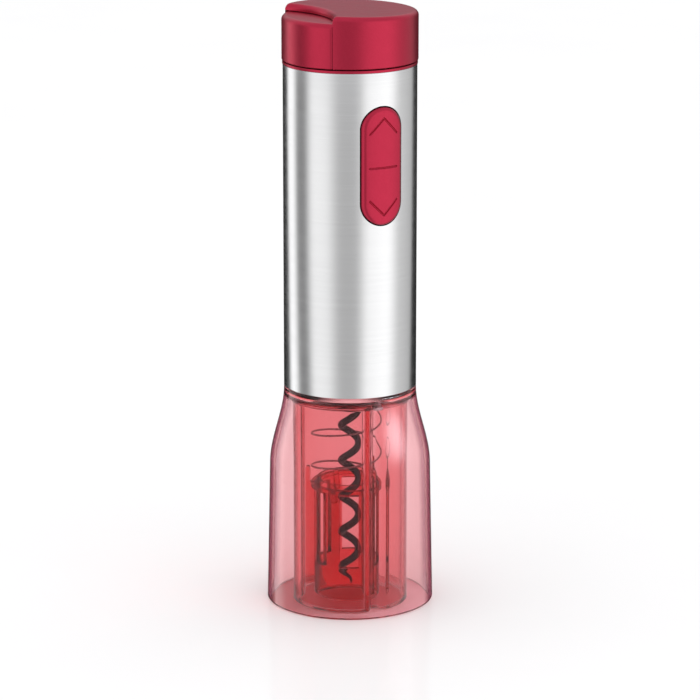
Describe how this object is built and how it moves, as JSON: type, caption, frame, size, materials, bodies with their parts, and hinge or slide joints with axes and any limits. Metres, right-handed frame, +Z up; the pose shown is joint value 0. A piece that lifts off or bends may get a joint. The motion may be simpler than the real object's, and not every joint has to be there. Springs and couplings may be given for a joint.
{
  "type": "electric wine opener",
  "caption": "Upright battery wine opener: steel tube with rocker button and hinged battery lid over a flared clear base that holds a screw worm in a sprung sliding cork guide.",
  "frame": {"origin": "centre of the circle that the base shell stands on", "axes": "+Z up along the tube, the rocker button faces -Y, the lid's hinge is at +X"},
  "size_m": [0.0632, 0.0632, 0.2277],
  "materials": {
    "clear_red": "clear gloss, tinted red",
    "satin_red": "satin metallic red on plastic",
    "brushed_steel": "satin",
    "red_plastic": "satin, moulded",
    "black_plastic": "matt",
    "black_coating": "black non-stick coating",
    "spring_steel": "drawn wire",
    "screw_steel": "zinc plated",
    "machined_steel": "turned",
    "plated_steel": "plated",
    "bronze": "turned",
    "nylon": "moulded",
    "cell_wrap": "printed film over a metal can",
    "nickel": "nickel plated",
    "board_green": "solder resist",
    "switch_black": "moulded"
  },
  "bodies": {
    "body": {"base_shell": "clear_red", "neck_sleeve": "clear_red", "sleeve_screw_1": "screw_steel", "sleeve_screw_2": "screw_steel", "sleeve_screw_3": "screw_steel", "deck_plate": "red_plastic", "steel_tube": "brushed_steel", "guide_spring": "spring_steel", "output_bush": "bronze", "gearbox_housing": "black_plastic", "gearbox_cover": "black_plastic", "gearbox_screw_1": "screw_steel", "gearbox_screw_2": "screw_steel", "gearbox_screw_3": "screw_steel", "motor_bracket": "black_plastic", "motor_can": "plated_steel", "motor_end_cap": "black_plastic", "battery_holder": "black_plastic", "battery_1": "cell_wrap", "battery_2": "cell_wrap", "battery_3": "cell_wrap", "battery_4": "cell_wrap", "contact_spring_1": "nickel", "contact_spring_2": "nickel", "contact_tab_1": "nickel", "contact_tab_2": "nickel", "circuit_board": "board_green", "switch_up": "switch_black", "switch_down": "switch_black", "button_frame": "black_plastic", "button_pivot_pin": "machined_steel", "top_ring": "satin_red", "lid_hinge_pin": "machined_steel"},
    "button": {"rocker_button": "satin_red"},
    "lid": {"battery_lid": "satin_red", "lid_contact_1": "nickel", "lid_contact_2": "nickel", "latch_spring": "spring_steel"},
    "latch": {"lid_latch": "satin_red"},
    "guide": {"cork_guide": "clear_red"},
    "drive_output": {"corkscrew_worm": "black_coating", "output_spindle": "machined_steel", "stage_2_carrier": "machined_steel"},
    "stage_link": {"stage_1_carrier": "machined_steel", "stage_2_sun": "machined_steel"},
    "rotor": {"motor_rotor": "machined_steel", "motor_pinion": "bronze"},
    "planet_1a": {"stage_1_planet_a": "nylon"},
    "planet_1b": {"stage_1_planet_b": "nylon"},
    "planet_1c": {"stage_1_planet_c": "nylon"},
    "planet_2a": {"stage_2_planet_a": "nylon"},
    "planet_2b": {"stage_2_planet_b": "nylon"},
    "planet_2c": {"stage_2_planet_c": "nylon"}
  },
  "joints": [
    {"name": "rotor_spin", "type": "hinge", "parent": "body", "child": "rotor", "pos_m": [0, 0, 0.13], "axis": [0, 0, 1], "continuous": true},
    {"name": "stage_link_spin", "type": "hinge", "parent": "body", "child": "stage_link", "pos_m": [0, 0, 0.099], "axis": [0, 0, 1], "continuous": true},
    {"name": "worm_spin", "type": "hinge", "parent": "body", "child": "drive_output", "pos_m": [0, 0, 0.085], "axis": [0, 0, 1], "continuous": true},
    {"name": "stage_2_planet_a_spin", "type": "hinge", "parent": "drive_output", "child": "planet_2a", "pos_m": [0.0108, 0, 0.095], "axis": [0, 0, 1], "continuous": true},
    {"name": "stage_2_planet_b_spin", "type": "hinge", "parent": "drive_output", "child": "planet_2b", "pos_m": [-0.0054, 0.00935, 0.095], "axis": [0, 0, 1], "continuous": true},
    {"name": "stage_2_planet_c_spin", "type": "hinge", "parent": "drive_output", "child": "planet_2c", "pos_m": [-0.0054, -0.00935, 0.095], "axis": [0, 0, 1], "continuous": true},
    {"name": "stage_1_planet_a_spin", "type": "hinge", "parent": "stage_link", "child": "planet_1a", "pos_m": [0.0108, 0, 0.104], "axis": [0, 0, 1], "continuous": true},
    {"name": "stage_1_planet_b_spin", "type": "hinge", "parent": "stage_link", "child": "planet_1b", "pos_m": [-0.0054, 0.00935, 0.104], "axis": [0, 0, 1], "continuous": true},
    {"name": "stage_1_planet_c_spin", "type": "hinge", "parent": "stage_link", "child": "planet_1c", "pos_m": [-0.0054, -0.00935, 0.104], "axis": [0, 0, 1], "continuous": true},
    {"name": "guide_slide", "type": "slide", "parent": "body", "child": "guide", "axis": [0, 0, 1], "range_m": [0, 0.028], "stiffness_N_per_m": 40, "springref_m": -0.012, "deforming": ["guide_spring"]},
    {"name": "button_rock", "type": "hinge", "parent": "body", "child": "button", "pos_m": [0, -0.0198, 0.172], "axis": [1, 0, 0], "range_deg": [-2.5, 2.5], "stiffness_Nm_per_rad": 0.7},
    {"name": "lid_open", "type": "hinge", "parent": "body", "child": "lid", "pos_m": [0.0249, 0, 0.2085], "axis": [0, 1, 0], "range_deg": [0, 100]},
    {"name": "latch_press", "type": "slide", "parent": "lid", "child": "latch", "axis": [1, 0, 0], "range_m": [0, 0.001], "stiffness_N_per_m": 2000}
  ],
  "couplings": [
    {"joint": "stage_link_spin", "follows": "rotor_spin", "ratio": 0.16667},
    {"joint": "worm_spin", "follows": "rotor_spin", "ratio": 0.027778},
    {"joint": "stage_2_planet_a_spin", "follows": "rotor_spin", "ratio": -0.069444},
    {"joint": "stage_2_planet_b_spin", "follows": "rotor_spin", "ratio": -0.069444},
    {"joint": "stage_2_planet_c_spin", "follows": "rotor_spin", "ratio": -0.069444},
    {"joint": "stage_1_planet_a_spin", "follows": "rotor_spin", "ratio": -0.41667},
    {"joint": "stage_1_planet_b_spin", "follows": "rotor_spin", "ratio": -0.41667},
    {"joint": "stage_1_planet_c_spin", "follows": "rotor_spin", "ratio": -0.41667}
  ]
}
